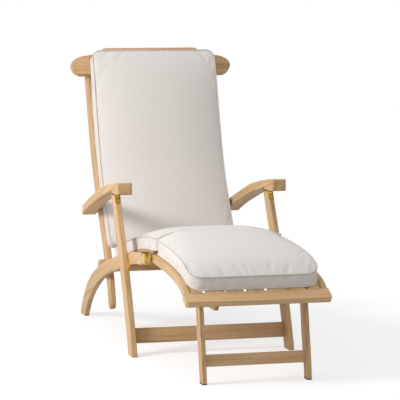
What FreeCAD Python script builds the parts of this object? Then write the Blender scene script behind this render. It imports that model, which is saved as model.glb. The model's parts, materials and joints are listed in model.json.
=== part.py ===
import FreeCAD, Part
import math
import os

# Steamer deck chair in teak, with brass fittings and a three-part cushion.
# The chair faces -Y, +X is the right of someone who looks at its front, and left and right are named that way.
# Side profiles are pairs (Y, Z) in mm. Their Y counts from the toe of the front legs, and the last
# lines of this file move everything so that the origin lies on the floor under the middle of the chair.

# Widths and thicknesses
SEAT_WIDTH = 487.0
RAIL_T = 18.5
LEG_T = 20.7
STILE_T = 19.0
LEG_GAP = 2.3
STILE_GAP = 1.0
ARM_WIDTH = 54.0
ARM_OVERHANG = 15.0
STRETCHER_T = 20.0
STRETCHER_H = 50.0
CROSS_RAIL_T = 20.0
CROSS_RAIL_H = 46.0
CROSS_RAIL_SLACK = 0.4
SLAT_W = 55.0
SLAT_GAP = 12.0
SLAT_T = 11.0
SLAT_END_GAP = 3.0
WIDE_SLATS = 5

# Edges and fits
EDGE_R = 3.0
SLAT_EDGE = 1.5
LONG_EDGE = 30.0
FIT = 0.06
FREE_GAP = 0.3

# Crest rail
CREST_T = 24.0
CREST_HUMP = 24.0
CREST_OVERHANG = 64.5
CREST_HUMP_HALF = 166.0
CREST_COVE_PULL = 26.0
CREST_TOP_Z = 976.0
# Outline of an ear: distance in from its tip, and depth below the top
CREST_EAR = [(93, 0), (57, 6.5), (27, 14.5), (9, 26), (1, 38), (0, 47), (4, 61), (15, 75), (37, 83)]

# Adjuster bar, bolts and brass
BAR_R = 14.0
BAR_OVERHANG = 2.0
BAR_END_R = 8.4
BOLT_R = 4.0
BOLT_HEAD_R = 9.0
BOLT_HEAD_H = 3.5
BOLT_HEAD_SLOPE = 3.0
SMALL_HEAD_R = 7.2
NUT_H = 6.0
PLATE_T = 2.0
LEAF_T = 3.0
LEAF_W = 18.0
LEAF_L = 30.0
KNUCKLE_R = 4.5
HINGE_PIN_R = 2.0

# Leg rest
REST_RAIL_T = 20.0
REST_RAIL_GAP = 10.0
REST_LEG_T = 15.0
REST_LEG_INSET = 34.8
REST_BOARD_T = 20.0
REST_BOARD_OVERHANG = 3.0
REST_STRETCHER_T = 16.0
REST_STRETCHER_H = 38.0
SOLE_T = 3.0

# Cushion
SEAT_CUSHION_T = 58.0
SEAT_CUSHION_CROWN = 15.0
SEAT_CUSHION_MARGIN = 0.5
SEAT_CUSHION_LIFT = 1.5
REST_CUSHION_HALF = 214.0
BACK_CUSHION_HALF = 233.5
CUSHION_EDGE = 9.0
BACK_CUSHION_LOW = 303.0
BACK_CUSHION_LIFT = 1.8

# Pivots
BAR_PIVOT = (636.0, 235.0)
LEG_PIVOT = (168.0, 308.0)
ARM_PIVOT = (262.0, 525.0)
ARM_BOLT = (728.0, 425.0)
REST_PIVOT = (-65.0, 342.0)
REST_LEG_PIVOT = (-432.0, 288.0)

# Centre lines and depths of the curved boards, from one end to the other
RAIL_LINE = [(-50, 335), (60, 327), (307, 282), (480, 243), (616, 206), (720, 167), (815, 118), (891, 58),
             (970, -45)]
RAIL_DEPTH = [38, 40, 46, 48, 51, 58, 62, 63, 63]
LEG_LINE = [(13, -40), (87, 148), (167, 306), (224, 406), (304, 552)]
LEG_DEPTH = [53, 53, 52, 50, 50]
STILE_LINE = [(543, 104), (568, 180), (609, 257), (693, 384), (737, 450), (781, 523), (820, 595), (851, 665),
              (881, 740), (908, 815), (939, 890), (974, 965)]
STILE_DEPTH = [48, 51, 51, 48.5, 51, 55, 61, 65, 67, 67, 66, 66]
REST_RAIL_LINE = [(-65, 342), (-150, 338), (-298, 328), (-400, 314), (-462, 298), (-505, 275), (-530, 263)]
REST_RAIL_DEPTH = [22, 22, 22, 22, 22, 21, 21]
REST_LEG_LINE = [(-432, 288), (-458, 234), (-475, 148), (-499, 45), (-506, -30)]
REST_LEG_DEPTH = [34, 40, 43, 38, 33]

# Armrest
ARM_TOP = [(158, 572), (222, 566), (311, 553), (433, 530), (526, 504), (654, 467), (752, 433)]
ARM_UNDER = [(752, 401), (654, 436), (526, 473), (432, 498), (341, 518), (240, 539)]
ARM_FRONT_Y = 150.0
ARM_NOSE_Z = 531.0
ARM_NOSE_R = 6.0
ARM_CORNER_R = 9.0
ARM_CORNER = 4.0
ARM_END_R = 10.0

LEG_TOP_Z = 519.0
RAIL_FRONT_Y = -44.0
SEAT_FRONT_Y = -43.0
SEAT_REAR_Y = 590.0
FRONT_CROSS_Y = 177.0
REAR_CROSS_Y = 432.0
BATTEN_Y = -22.0
BATTEN_H = 26.0
STRETCHER_Z = 62.0
STRETCHER_SETBACK = 13.0
REST_STRETCHER_Z = 71.0

# Widths worked out from those above, all as distances from the middle plane
RAIL_IN = SEAT_WIDTH / 2
RAIL_OUT = RAIL_IN + RAIL_T
LEG_IN = RAIL_OUT + LEG_GAP
LEG_OUT = LEG_IN + LEG_T
STILE_OUT = RAIL_IN - STILE_GAP
STILE_IN = STILE_OUT - STILE_T
ARM_OUT = LEG_OUT + ARM_OVERHANG
ARM_IN = ARM_OUT - ARM_WIDTH
REST_RAIL_OUT = RAIL_IN - REST_RAIL_GAP
REST_RAIL_IN = REST_RAIL_OUT - REST_RAIL_T
REST_LEG_OUT = REST_RAIL_IN - REST_LEG_INSET
REST_LEG_IN = REST_LEG_OUT - REST_LEG_T

FAR = 2000.0
parts = {}


def vec(y, z, x=0.0):
    return FreeCAD.Vector(x, y, z)


def spline(points):
    curve = Part.BSplineCurve()
    curve.interpolate([vec(y, z) for y, z in points])
    return curve


def edges_of(points, depths):
    # The two long edges of a curved board, each point pushed out square to the centre line by half the depth
    line = spline(points)
    upper = []
    lower = []
    for (y, z), depth in zip(points, depths):
        tangent = line.tangent(line.parameter(vec(y, z)))[0]
        side = vec(-tangent.z, tangent.y) * (depth / 2)
        upper.append((y + side.y, z + side.z))
        lower.append((y - side.y, z - side.z))
    return upper, lower


def cap(start, end, rounded):
    # The end of a board: square, or a half circle on the side away from the board
    a = vec(*start)
    b = vec(*end)
    if not rounded:
        return Part.LineSegment(a, b)
    middle = (a + b) * 0.5
    along = b - a
    outward = vec(-along.z, along.y) * 0.5
    return Part.Arc(a, middle + outward, b)


def prism(curves, x0, x1):
    # The closed profile in the plane of the chair's side, as a board from x0 to x1
    wire = Part.Wire(Part.__sortEdges__([curve.toShape() for curve in curves]))
    face = Part.Face(wire)
    face.translate(vec(0, 0, x0))
    return face.extrude(vec(0, 0, x1 - x0))


def polygon(points):
    count = len(points)
    return [Part.LineSegment(vec(*points[i]), vec(*points[(i + 1) % count])) for i in range(count)]


def board(points, depths, x0, x1, round_start=False):
    upper, lower = edges_of(points, depths)
    start = cap(lower[0], upper[0], round_start)
    end = cap(upper[-1], lower[-1], False)
    return prism([spline(upper), start, spline(lower), end], x0, x1)


def block(x0, x1, y0, y1, z0, z1):
    return Part.makeBox(x1 - x0, y1 - y0, z1 - z0, vec(y0, z0, x0))


def rod(pivot, radius, x0, x1):
    return Part.makeCylinder(radius, x1 - x0, vec(pivot[0], pivot[1], x0), vec(0, 0, 1))


def bolt_head(pivot, radius, x):
    # A low head with a sloping rim, whose flat side lies at x
    top = radius - BOLT_HEAD_SLOPE
    return Part.makeCone(radius, top, BOLT_HEAD_H, vec(pivot[0], pivot[1], x), vec(0, 0, 1))


def above_floor(solid):
    return solid.cut(block(-FAR, FAR, -FAR, FAR, -FAR, 0))


def side_edges(solid, least):
    # The edges of the two flat sides of a board, which look along X, apart from the short ones
    box = solid.BoundBox
    found = []
    for edge in solid.Edges:
        ends = edge.BoundBox
        flat = ends.XLength < 0.01
        outer = abs(ends.XMin - box.XMin) < 0.01 or abs(ends.XMin - box.XMax) < 0.01
        if flat and outer and edge.Length > least:
            found.append(edge)
    return found


def eased(solid, radius=EDGE_R):
    return solid.makeFillet(radius, side_edges(solid, LONG_EDGE))


def bevelled(solid, size=SLAT_EDGE):
    return solid.makeChamfer(size, side_edges(solid, LONG_EDGE))


def mirrored(solid):
    return solid.mirror(vec(0, 0), vec(0, 0, 1))


def turned(solid, pivot, degrees):
    copy = solid.copy()
    copy.rotate(vec(*pivot), vec(0, 0, 1), degrees)
    return copy


def group(solids):
    return Part.makeCompound(solids)


def add_pair(name, right):
    # name has one %s for the side
    parts[name % "right"] = right
    parts[name % "left"] = mirrored(right)


def add_both(name, right):
    # Fasteners of both sides in one node
    parts[name] = group([right, mirrored(right)])


def slat_spans(half):
    # Wide slats side by side about the middle, and a narrow one at each side that fills the width
    pitch = SLAT_W + SLAT_GAP
    first = -(WIDE_SLATS - 1) / 2 * pitch
    spans = [(first + i * pitch - SLAT_W / 2, first + i * pitch + SLAT_W / 2) for i in range(WIDE_SLATS)]
    edge = spans[-1][1] + SLAT_GAP
    spans.insert(0, (-half + SLAT_END_GAP, -edge))
    spans.append((edge, half - SLAT_END_GAP))
    return spans


def add_slats(name, points, half, room=None):
    # Curved slats along one centre line. room is what is cut out of them.
    depths = [SLAT_T] * len(points)
    for number, (x0, x1) in enumerate(slat_spans(half), 1):
        slat = board(points, depths, x0, x1)
        slat = bevelled(slat)
        if room is not None:
            slat = slat.cut(room)
        parts["%s_%d" % (name, number)] = slat


# Side rails, bow-shaped, each one board from the rear foot to the front of the seat
BRACKET_FRONT = -90.0
BRACKET_BACK = -41.0
BRACKET_LOW = 325.0
BRACKET_TOP = 359.0
HOOK_W = 7.0
HOOK_H = 14.0


def side_rail():
    # The front end is cut upright, with a rebate for the brass bracket and holes for bar and leg bolt
    rail = above_floor(board(RAIL_LINE, RAIL_DEPTH, RAIL_IN, RAIL_OUT))
    rail = eased(rail)
    rail = rail.cut(block(-FAR, FAR, -FAR, RAIL_FRONT_Y, -FAR, FAR))
    rail = rail.cut(block(RAIL_OUT - PLATE_T, FAR, -FAR, BRACKET_BACK, BRACKET_LOW, BRACKET_TOP))
    rail = rail.cut(rod(BAR_PIVOT, BAR_R + FIT, RAIL_IN - 1, RAIL_OUT + 1))
    return rail.cut(rod(LEG_PIVOT, BOLT_R + FIT, RAIL_IN - 1, RAIL_OUT + 1))


add_pair("%s_side_rail", side_rail())


def rail_top(y):
    # Height of the side rail's top edge at y
    upper, lower = edges_of(RAIL_LINE, RAIL_DEPTH)
    edge = spline(lower).toShape() if lower[0][1] > upper[0][1] else spline(upper).toShape()
    cut = edge.distToShape(Part.LineSegment(vec(y, 0), vec(y, FAR)).toShape())
    return cut[1][0][0].z


# Cross rails of the seat, which stand between the side rails and carry the slats


def seat_cross_rail(y, thick, high):
    top = rail_top(y + thick) - CROSS_RAIL_SLACK
    rail = block(-RAIL_IN, RAIL_IN, y, y + thick, top - high, top)
    return rail.makeFillet(EDGE_R / 2, [e for e in rail.Edges if e.BoundBox.XLength > RAIL_IN])


parts["front_cross_rail"] = seat_cross_rail(FRONT_CROSS_Y, CROSS_RAIL_T, CROSS_RAIL_H)
parts["rear_cross_rail"] = seat_cross_rail(REAR_CROSS_Y, CROSS_RAIL_T, CROSS_RAIL_H - EDGE_R)
parts["seat_front_batten"] = seat_cross_rail(BATTEN_Y, CROSS_RAIL_T, BATTEN_H)

# Seat slats, lengthwise, on the cross rails
SEAT_STATIONS = [SEAT_FRONT_Y, 120.0, 280.0, 440.0, SEAT_REAR_Y]
SEAT_LINE = [(y, rail_top(y) + SLAT_T / 2) for y in SEAT_STATIONS]
add_slats("seat_slat", SEAT_LINE, STILE_IN)


# Brass box on the front end of each side rail, flush with the rail outside, with a hook slot in its front
def rest_bracket():
    strap = block(RAIL_IN - PLATE_T, RAIL_OUT, BRACKET_FRONT, BRACKET_BACK, BRACKET_LOW, BRACKET_TOP)
    front_edges = [e for e in strap.Edges if e.BoundBox.ZLength > 1 and e.BoundBox.YMax < BRACKET_BACK - 1]
    strap = strap.makeFillet(EDGE_R, front_edges)
    inner_front = BRACKET_FRONT + PLATE_T
    room_out = RAIL_OUT - PLATE_T
    hollow = block(RAIL_IN, room_out, inner_front, RAIL_FRONT_Y - PLATE_T, BRACKET_LOW - 1, BRACKET_TOP + 1)
    wood = block(RAIL_IN, room_out, RAIL_FRONT_Y, BRACKET_BACK + 1, BRACKET_LOW - 1, BRACKET_TOP + 1)
    middle = (RAIL_IN + RAIL_OUT) / 2
    slot = block(middle - HOOK_W / 2, middle + HOOK_W / 2, BRACKET_FRONT - 1, inner_front + 1,
                 BRACKET_TOP - HOOK_H, BRACKET_TOP + 1)
    strap = strap.cut([hollow, wood, slot])
    return strap.cut(rod(REST_PIVOT, BOLT_R, RAIL_IN - 5, RAIL_OUT + 5))


add_pair("%s_rest_bracket", rest_bracket())


def rest_pin():
    shank = rod(REST_PIVOT, BOLT_R, REST_RAIL_IN, RAIL_OUT)
    collar = rod(REST_PIVOT, SMALL_HEAD_R, REST_RAIL_OUT + FREE_GAP, RAIL_IN - PLATE_T)
    return shank.fuse(collar)


add_both("rest_pins", rest_pin())


# Front legs, which cross the side rails outside them and turn on a bolt there
def leg_blank():
    leg = above_floor(board(LEG_LINE, LEG_DEPTH, LEG_IN, LEG_OUT))
    return leg.cut(block(-FAR, FAR, -FAR, FAR, LEG_TOP_Z, FAR))


def front_leg():
    leg = eased(leg_blank())
    return leg.cut(rod(LEG_PIVOT, BOLT_R, LEG_IN - 1, LEG_OUT + 1))


add_pair("%s_front_leg", front_leg())


def leg_lean():
    # Degrees that the legs lean back from upright, low down
    (y0, z0), (y1, z1) = LEG_LINE[0], LEG_LINE[1]
    return math.degrees(math.atan2(y1 - y0, z1 - z0))


def front_stretcher():
    (y0, z0), (y1, z1) = LEG_LINE[0], LEG_LINE[1]
    y = y0 + (y1 - y0) * (STRETCHER_Z - z0) / (z1 - z0) + STRETCHER_SETBACK
    half_t = STRETCHER_T / 2
    half_h = STRETCHER_H / 2
    bar = block(-LEG_IN, LEG_IN, y - half_t, y + half_t, STRETCHER_Z - half_h, STRETCHER_Z + half_h)
    bar = bar.makeFillet(EDGE_R, [e for e in bar.Edges if e.BoundBox.XLength > LEG_IN])
    return turned(bar, (y, STRETCHER_Z), -leg_lean())


parts["front_stretcher"] = front_stretcher()


# Brass plate in the gap between leg and rail, folded round the leg's front edge low down
PLATE_LOW = 277.0
PLATE_TOP = 331.0
PLATE_FLANGE_TOP = 302.0
PLATE_FLANGE_W = 9.0


def leg_plate():
    lean = math.radians(leg_lean())
    shift = vec(-PLATE_T * math.cos(lean), PLATE_T * math.sin(lean))
    x0 = RAIL_OUT + FREE_GAP
    plain = board(LEG_LINE, LEG_DEPTH, x0, LEG_IN)
    ahead = plain.copy()
    ahead.translate(shift)
    web = plain.fuse(ahead).common(block(x0, LEG_IN, -FAR, FAR, PLATE_LOW, PLATE_TOP))
    fold = board(LEG_LINE, LEG_DEPTH, x0, LEG_IN + PLATE_FLANGE_W)
    leg = board(LEG_LINE, LEG_DEPTH, LEG_IN, LEG_OUT)
    fold.translate(shift)
    fold = fold.cut(board(LEG_LINE, LEG_DEPTH, x0 - 1, LEG_OUT))
    fold = fold.common(block(x0, LEG_OUT, -FAR, LEG_PIVOT[0], PLATE_LOW, PLATE_FLANGE_TOP))
    plate = web.fuse(fold).cut(leg)
    return plate.cut(rod(LEG_PIVOT, BOLT_R, x0 - 1, LEG_IN + 1)).removeSplitter()


add_both("leg_plates", leg_plate())


def leg_bolt():
    # Its outer end is sunk flush into the leg
    nut_end = RAIL_IN - FREE_GAP
    shank = rod(LEG_PIVOT, BOLT_R, nut_end, LEG_OUT)
    nut = rod(LEG_PIVOT, SMALL_HEAD_R, nut_end - NUT_H, nut_end)
    return shank.fuse(nut)


add_both("leg_pivot_bolts", leg_bolt())


# Butt hinge between each leg's top and the armrest above it
LEAF_IN = LEG_IN + (LEG_T - LEAF_W) / 2
KNUCKLE_W = LEAF_W / 3


def knuckle(first, last, gap):
    x0 = LEAF_IN + first * KNUCKLE_W + gap
    x1 = LEAF_IN + last * KNUCKLE_W - gap
    return rod(ARM_PIVOT, KNUCKLE_R, x0, x1)


def leg_leaf():
    # Lies on the leg's front edge and carries the two outer knuckles
    lean = math.radians(leg_lean())
    reach = board(LEG_LINE, LEG_DEPTH, LEAF_IN, LEAF_IN + LEAF_W)
    leaf = reach.copy()
    leaf.translate(vec(-LEAF_T * math.cos(lean), LEAF_T * math.sin(lean)))
    leaf = leaf.cut(reach)
    keep = block(-FAR, FAR, -FAR, ARM_PIVOT[0] + KNUCKLE_R, ARM_PIVOT[1] - LEAF_L, ARM_PIVOT[1] - 1)
    leaf = leaf.common(keep)
    middle = block(LEAF_IN + KNUCKLE_W, LEAF_IN + 2 * KNUCKLE_W, -FAR, FAR, ARM_PIVOT[1] - KNUCKLE_R - 2, FAR)
    leaf = leaf.cut(middle)
    leaf = leaf.fuse([knuckle(0, 1, 0), knuckle(2, 3, 0)])
    return leaf.cut(rod(ARM_PIVOT, HINGE_PIN_R, LEAF_IN - 1, LEAF_IN + LEAF_W + 1)).removeSplitter()


add_both("hinge_leg_leaves", leg_leaf())
add_both("hinge_pins", rod(ARM_PIVOT, HINGE_PIN_R, LEAF_IN, LEAF_IN + LEAF_W))


ARM_LEAF_L = 33.5


def arm_leaf():
    # Lies under the armrest's nose and carries the middle knuckle
    near = ARM_PIVOT[0] - KNUCKLE_R - PLATE_T
    low = ARM_NOSE_Z - LEAF_T
    leaf = block(LEAF_IN, LEAF_IN + LEAF_W, near - ARM_LEAF_L, near, low, ARM_NOSE_Z)
    x0 = LEAF_IN + KNUCKLE_W + FREE_GAP
    x1 = LEAF_IN + 2 * KNUCKLE_W - FREE_GAP
    tongue = block(x0, x1, near - 1, ARM_PIVOT[0], low, ARM_NOSE_Z)
    leaf = leaf.fuse([tongue, knuckle(1, 2, FREE_GAP)])
    return leaf.cut(rod(ARM_PIVOT, HINGE_PIN_R + FIT, x0 - 1, x1 + 1)).removeSplitter()


add_both("hinge_arm_leaves", arm_leaf())


# Armrests, thick at the nose and thin at the rear, each one curved board
def armrest():
    top = spline(ARM_TOP)
    under = spline(ARM_UNDER)
    nose_back = (ARM_UNDER[-1][0], ARM_NOSE_Z)
    nose_low = (ARM_FRONT_Y + ARM_NOSE_R, ARM_NOSE_Z)
    front_low = (ARM_FRONT_Y, ARM_NOSE_Z + ARM_NOSE_R)
    front_high = (ARM_FRONT_Y, ARM_TOP[0][1] - ARM_NOSE_R)
    turn = ARM_NOSE_R * (1 - math.sqrt(0.5))
    low_mid = (ARM_FRONT_Y + turn, ARM_NOSE_Z + turn)
    high_mid = (ARM_FRONT_Y + turn, ARM_TOP[0][1] - turn)
    curves = [
        top,
        cap(ARM_TOP[-1], ARM_UNDER[0], False),
        under,
        Part.LineSegment(vec(*ARM_UNDER[-1]), vec(*nose_back)),
        Part.LineSegment(vec(*nose_back), vec(*nose_low)),
        Part.Arc(vec(*nose_low), vec(*low_mid), vec(*front_low)),
        Part.LineSegment(vec(*front_low), vec(*front_high)),
        Part.Arc(vec(*front_high), vec(*high_mid), vec(*ARM_TOP[0])),
    ]
    arm = eased(prism(curves, ARM_IN, ARM_OUT))
    # Plan view: round front corners, a small cut at the rear inner corner, a round rear outer corner
    rear = ARM_TOP[-1][0]
    outline = plan_outline(ARM_FRONT_Y, rear, ARM_CORNER_R, ARM_CORNER)
    arm = arm.common(outline)
    arm = arm.cut(rod(ARM_BOLT, BOLT_R, ARM_IN - 1, ARM_OUT + 1))
    return arm


def plan_outline(front, rear, front_r, corner):
    # The armrest seen from above, as a tall block
    def flat(x, y):
        return FreeCAD.Vector(x, y, 0)
    k = 1 - math.sqrt(0.5)
    end_r = ARM_END_R
    curves = [
        Part.LineSegment(flat(ARM_IN + front_r, front), flat(ARM_OUT - front_r, front)),
        Part.Arc(flat(ARM_OUT - front_r, front), flat(ARM_OUT - k * front_r, front + k * front_r),
                 flat(ARM_OUT, front + front_r)),
        Part.LineSegment(flat(ARM_OUT, front + front_r), flat(ARM_OUT, rear - end_r)),
        Part.Arc(flat(ARM_OUT, rear - end_r), flat(ARM_OUT - k * end_r, rear - k * end_r),
                 flat(ARM_OUT - end_r, rear)),
        Part.LineSegment(flat(ARM_OUT - end_r, rear), flat(ARM_IN + corner, rear)),
        Part.LineSegment(flat(ARM_IN + corner, rear), flat(ARM_IN, rear - corner)),
        Part.LineSegment(flat(ARM_IN, rear - corner), flat(ARM_IN, front + front_r)),
        Part.Arc(flat(ARM_IN, front + front_r), flat(ARM_IN + k * front_r, front + k * front_r),
                 flat(ARM_IN + front_r, front)),
    ]
    wire = Part.Wire(Part.__sortEdges__([curve.toShape() for curve in curves]))
    return Part.Face(wire).extrude(FreeCAD.Vector(0, 0, FAR))


add_pair("%s_armrest", armrest())


def arm_bolt():
    shank = rod(ARM_BOLT, BOLT_R, STILE_OUT + FREE_GAP, ARM_OUT)
    washer = rod(ARM_BOLT, BOLT_HEAD_R, STILE_OUT + FREE_GAP, ARM_IN)
    head = bolt_head(ARM_BOLT, BOLT_HEAD_R, ARM_OUT)
    return shank.fuse([washer, head])


add_both("arm_bolts", arm_bolt())


# Back: a crest rail with rounded ears and a raised middle, on the front of two S-curved stiles
def stile_front(depth):
    # The stiles' front edge, pushed back by a depth
    upper, lower = edges_of(STILE_LINE, [full - 2 * depth for full in STILE_DEPTH])
    return upper if upper[-1][0] < lower[-1][0] else lower


def crest_frame(shape):
    # From a drawing with X across, Z up and its back on Y = 0, to its place on the front of the stiles
    (y0, z0), (y1, z1) = stile_front(0)[-2:]
    slope = (y1 - y0) / (z1 - z0)
    placed = shape.copy()
    placed.rotate(vec(0, 0), vec(0, 0, 1), -math.degrees(math.atan(slope)))
    placed.translate(vec(y1 + (CREST_TOP_Z - z1) * slope, CREST_TOP_Z))
    return placed


def crest_rail():
    tip = STILE_OUT + CREST_OVERHANG
    hump = CREST_HUMP_HALF
    pull = CREST_COVE_PULL
    foot = tip - CREST_EAR[0][0]
    curves = []
    for side in (1, -1):
        def flat(x, z):
            return FreeCAD.Vector(side * x, 0, z)
        ear = Part.BSplineCurve()
        ear.interpolate([flat(tip - x, -z) for x, z in CREST_EAR])
        cove = Part.BezierCurve()
        cove.setPoles([flat(foot, 0), flat(foot - pull, 0),
                       flat(hump + pull, CREST_HUMP), flat(hump, CREST_HUMP)])
        low = flat(tip - CREST_EAR[-1][0], -CREST_EAR[-1][1])
        under = Part.LineSegment(flat(0, -CREST_EAR[-1][1]), low)
        over = Part.LineSegment(flat(0, CREST_HUMP), flat(hump, CREST_HUMP))
        curves += [ear, cove, under, over]
    wire = Part.Wire(Part.__sortEdges__([curve.toShape() for curve in curves]))
    crest = Part.Face(wire).extrude(FreeCAD.Vector(0, -CREST_T, 0)).removeSplitter()
    rims = [e for e in crest.Edges if e.BoundBox.YLength < 0.01]
    return crest_frame(crest.makeFillet(EDGE_R, rims))


crest = crest_rail()
parts["crest_rail"] = crest


def stile():
    # With a flat seat for the crest rail and a round notch for the bar
    blank = board(STILE_LINE, STILE_DEPTH, STILE_IN, STILE_OUT, round_start=True)
    blank = eased(blank).cut(crest)
    return blank.cut(rod(BAR_PIVOT, BAR_R, STILE_IN - 1, STILE_OUT + 1))


add_pair("%s_stile", stile())

# Back slats between the crest rail and a lower rail, their fronts level with the stiles' front edges
LOWER_RAIL_Z = 350.0
MIDDLE_RAIL_Z = 640.0
BACK_SLAT_LOW = 330.0
BACK_SLAT_LEAST = 15.0
SLAT_SEAT = 0.6


def at_height(line, z):
    # The point of a rising line at height z, or on past its end
    for (y0, z0), (y1, z1) in zip(line, line[1:]):
        if z <= z1:
            break
    return (y0 + (y1 - y0) * (z - z0) / (z1 - z0), z)


def back_slat_line():
    line = stile_front(SLAT_T / 2)
    upper = [point for point in line if point[1] > BACK_SLAT_LOW + BACK_SLAT_LEAST]
    return [at_height(line, BACK_SLAT_LOW)] + upper


add_slats("back_slat", back_slat_line(), STILE_IN, crest)


def back_rail(z, high):
    # Stands between the stiles behind the slats, square to the line of the back
    line = stile_front(SLAT_T)
    y, z = at_height(line, z)
    y1, z1 = at_height(line, z + high / 2)
    y0, z0 = at_height(line, z - high / 2)
    lean = math.degrees(math.atan2(y1 - y0, z1 - z0))
    y += SLAT_SEAT
    rail = block(-STILE_IN, STILE_IN, y, y + CROSS_RAIL_T, z - high / 2, z + high / 2)
    rail = rail.makeFillet(EDGE_R / 2, [e for e in rail.Edges if e.BoundBox.XLength > STILE_IN])
    return turned(rail, (y, z), -lean)


parts["back_lower_rail"] = back_rail(LOWER_RAIL_Z, CROSS_RAIL_H - EDGE_R)
parts["back_middle_rail"] = back_rail(MIDDLE_RAIL_Z, CROSS_RAIL_H - EDGE_R)


def adjuster_bar():
    reach = RAIL_OUT + BAR_OVERHANG
    bar = rod(BAR_PIVOT, BAR_R, -reach, reach)
    return bar.makeFillet(BAR_END_R, [e for e in bar.Edges if e.BoundBox.XLength < 0.01])


parts["adjuster_bar"] = adjuster_bar()


# Leg rest: two thin curved rails, a wide front board, slats and a cross rail
def rest_rail():
    rail = bevelled(board(REST_RAIL_LINE, REST_RAIL_DEPTH, REST_RAIL_IN, REST_RAIL_OUT))
    rail = rail.fuse(rod(REST_PIVOT, REST_RAIL_DEPTH[0] / 2, REST_RAIL_IN, REST_RAIL_OUT))
    return rail.cut(rod(REST_PIVOT, BOLT_R + FIT, REST_RAIL_IN - 1, REST_RAIL_OUT + 1))


add_pair("%s_rest_rail", rest_rail())

REST_BOARD_REAR = -504.0
REST_BOARD_FRONT = -550.0
REST_BOARD_CHAMFER = 7.0


def rest_top(y):
    upper, lower = edges_of(REST_RAIL_LINE, REST_RAIL_DEPTH)
    line = upper if upper[0][1] > lower[0][1] else lower
    rising = sorted(line)
    for (y0, z0), (y1, z1) in zip(rising, rising[1:]):
        if y0 <= y <= y1:
            return z0 + (z1 - z0) * (y - y0) / (y1 - y0)
    (y0, z0), (y1, z1) = rising[0], rising[1]
    return z0 + (z1 - z0) * (y - y0) / (y1 - y0)


def rest_board():
    half = REST_RAIL_OUT + REST_BOARD_OVERHANG
    y0 = REST_BOARD_FRONT
    y1 = REST_BOARD_REAR
    z0 = rest_top(y0)
    z1 = rest_top(y1)
    length = math.hypot(y1 - y0, z1 - z0)
    slope = math.degrees(math.atan2(z1 - z0, y1 - y0))
    plank = block(-half, half, 0, length, -REST_BOARD_T, 0)
    cut = REST_BOARD_CHAMFER
    plank = plank.makeChamfer(cut, [e for e in plank.Edges if e.BoundBox.ZLength > 1 and e.BoundBox.YMax < 1])
    front_edges = [e for e in plank.Edges if e.BoundBox.XLength > half and e.BoundBox.YMax < 1]
    plank = plank.makeFillet(EDGE_R, front_edges)
    plank.rotate(vec(0, 0), vec(0, 0, 1), slope)
    plank.translate(vec(y0, z0))
    return plank


rest_board_solid = rest_board()
for side in ("right", "left"):
    name = "%s_rest_rail" % side
    parts[name] = parts[name].cut(rest_board_solid)
parts["rest_front_board"] = rest_board_solid

REST_SLAT_REAR = -80.0
REST_STATIONS = [REST_SLAT_REAR, -200.0, -320.0, -415.0, -470.0, REST_BOARD_REAR - 3]
REST_SLAT_LINE = [(y, rest_top(y) - SLAT_T / 2) for y in REST_STATIONS]
add_slats("rest_slat", REST_SLAT_LINE, REST_RAIL_IN, rest_board_solid)

REST_CROSS_Y = -118.0
REST_CROSS_T = 30.0
REST_CROSS_H = 14.0
REST_CROSS_SLACK = 1.15


def rest_cross_rail():
    top = rest_top(REST_CROSS_Y) - SLAT_T - REST_CROSS_SLACK
    rail = block(-REST_RAIL_IN, REST_RAIL_IN, REST_CROSS_Y - REST_CROSS_T / 2, REST_CROSS_Y + REST_CROSS_T / 2,
                 top - REST_CROSS_H, top)
    return rail.makeFillet(EDGE_R / 2, [e for e in rail.Edges if e.BoundBox.XLength > REST_RAIL_IN])


parts["rest_cross_rail"] = rest_cross_rail()

CLEAT_GAP = 2.0
CLEAT_SLACK = 0.85
CLEAT_L = 60.0
CLEAT_DROP = 18.0
CLEAT_END = 4.0
CLEAT_TAPER = 14.0


def rest_cleat():
    # A block inside each rail of the leg rest, under the slats, that the leg's bolt goes through
    y, z = REST_LEG_PIVOT
    y0 = y - CLEAT_L / 2
    y1 = y + CLEAT_L / 2
    top = [(y, rest_top(y) - SLAT_T - CLEAT_SLACK) for y in (y1, y0)]
    low = z - CLEAT_DROP
    side = z - CLEAT_END
    outline = polygon(top + [(y0, side), (y0 + CLEAT_TAPER, low), (y1 - CLEAT_TAPER, low), (y1, side)])
    cleat = prism(outline, REST_LEG_OUT + CLEAT_GAP, REST_RAIL_IN)
    return cleat.cut(rod(REST_LEG_PIVOT, BOLT_R, 0, REST_RAIL_IN + 1))


add_both("rest_cleats", rest_cleat())


def rest_leg_bolt():
    head_end = REST_LEG_IN - FREE_GAP
    shank = rod(REST_LEG_PIVOT, BOLT_R, head_end, REST_RAIL_IN)
    head = rod(REST_LEG_PIVOT, SMALL_HEAD_R, head_end - BOLT_HEAD_H, head_end)
    return shank.fuse(head)


add_both("rest_leg_bolts", rest_leg_bolt())


# Legs of the leg rest
def rest_leg():
    leg = board(REST_LEG_LINE, REST_LEG_DEPTH, REST_LEG_IN, REST_LEG_OUT)
    leg = bevelled(leg.cut(block(-FAR, FAR, -FAR, FAR, -FAR, SOLE_T)))
    leg = leg.fuse(rod(REST_LEG_PIVOT, REST_LEG_DEPTH[0] / 2, REST_LEG_IN, REST_LEG_OUT))
    return leg.cut(rod(REST_LEG_PIVOT, BOLT_R + FIT, REST_LEG_IN - 1, REST_LEG_OUT + 1))


def rest_sole():
    leg = board(REST_LEG_LINE, REST_LEG_DEPTH, REST_LEG_IN, REST_LEG_OUT)
    return leg.common(block(-FAR, FAR, -FAR, FAR, 0, SOLE_T))


add_pair("%s_rest_leg", rest_leg())
add_both("rest_leg_soles", rest_sole())


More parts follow.
